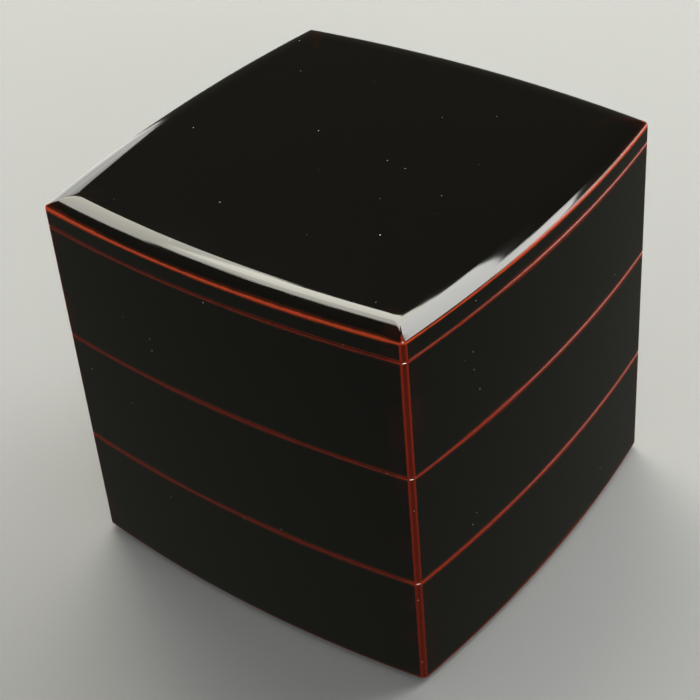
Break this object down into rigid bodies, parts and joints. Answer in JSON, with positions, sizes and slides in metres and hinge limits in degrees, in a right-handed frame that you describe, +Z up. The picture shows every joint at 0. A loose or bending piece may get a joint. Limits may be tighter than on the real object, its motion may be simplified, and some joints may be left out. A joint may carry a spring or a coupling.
{
  "type": "stacking lunch box",
  "caption": "Square stacking lunch box of lacquered wood with bowed sides: lift-off tiers that nest on rims, under a lift-off lid with rounded shoulders.",
  "frame": {"origin": "centre of the plane that the bottom rim stands on", "axes": "+Z up through the stack, -Y out of the front side, +X out of the right side"},
  "size_m": [0.195, 0.195, 0.1842],
  "materials": {
    "wall_lacquer": "polished black lacquer over a red ground, rubbed through to red along the edges",
    "lid_lacquer": "polished black lacquer over a red ground, rubbed through to orange-red along the arris",
    "floor_lacquer": "satin vermilion lacquer inside, black lacquer underneath",
    "rim_lacquer": "semi-gloss black lacquer",
    "tongue_wood": "bare wood, hidden in the mitres"
  },
  "bodies": {
    "bottom_tier": {"bottom_tier_front_wall": "wall_lacquer", "bottom_tier_right_wall": "wall_lacquer", "bottom_tier_back_wall": "wall_lacquer", "bottom_tier_left_wall": "wall_lacquer", "bottom_tier_floor": "floor_lacquer", "bottom_tier_front_rim": "rim_lacquer", "bottom_tier_right_rim": "rim_lacquer", "bottom_tier_back_rim": "rim_lacquer", "bottom_tier_left_rim": "rim_lacquer", "bottom_tier_corner_tongues": "tongue_wood"},
    "middle_tier": {"middle_tier_front_wall": "wall_lacquer", "middle_tier_right_wall": "wall_lacquer", "middle_tier_back_wall": "wall_lacquer", "middle_tier_left_wall": "wall_lacquer", "middle_tier_floor": "floor_lacquer", "middle_tier_front_rim": "rim_lacquer", "middle_tier_right_rim": "rim_lacquer", "middle_tier_back_rim": "rim_lacquer", "middle_tier_left_rim": "rim_lacquer", "middle_tier_corner_tongues": "tongue_wood"},
    "top_tier": {"top_tier_front_wall": "wall_lacquer", "top_tier_right_wall": "wall_lacquer", "top_tier_back_wall": "wall_lacquer", "top_tier_left_wall": "wall_lacquer", "top_tier_floor": "floor_lacquer", "top_tier_front_rim": "rim_lacquer", "top_tier_right_rim": "rim_lacquer", "top_tier_back_rim": "rim_lacquer", "top_tier_left_rim": "rim_lacquer", "top_tier_corner_tongues": "tongue_wood"},
    "lid": {"lid_front_skirt": "lid_lacquer", "lid_right_skirt": "lid_lacquer", "lid_back_skirt": "lid_lacquer", "lid_left_skirt": "lid_lacquer", "lid_front_rim": "rim_lacquer", "lid_right_rim": "rim_lacquer", "lid_back_rim": "rim_lacquer", "lid_left_rim": "rim_lacquer", "lid_board": "lid_lacquer"}
  },
  "joints": [
    {"name": "middle_tier_lift", "type": "slide", "parent": "bottom_tier", "child": "middle_tier", "axis": [0, 0, 1], "range_m": [0, 0.12]},
    {"name": "top_tier_lift", "type": "slide", "parent": "middle_tier", "child": "top_tier", "axis": [0, 0, 1], "range_m": [0, 0.12]},
    {"name": "lid_lift", "type": "slide", "parent": "top_tier", "child": "lid", "axis": [0, 0, 1], "range_m": [0, 0.12]}
  ]
}
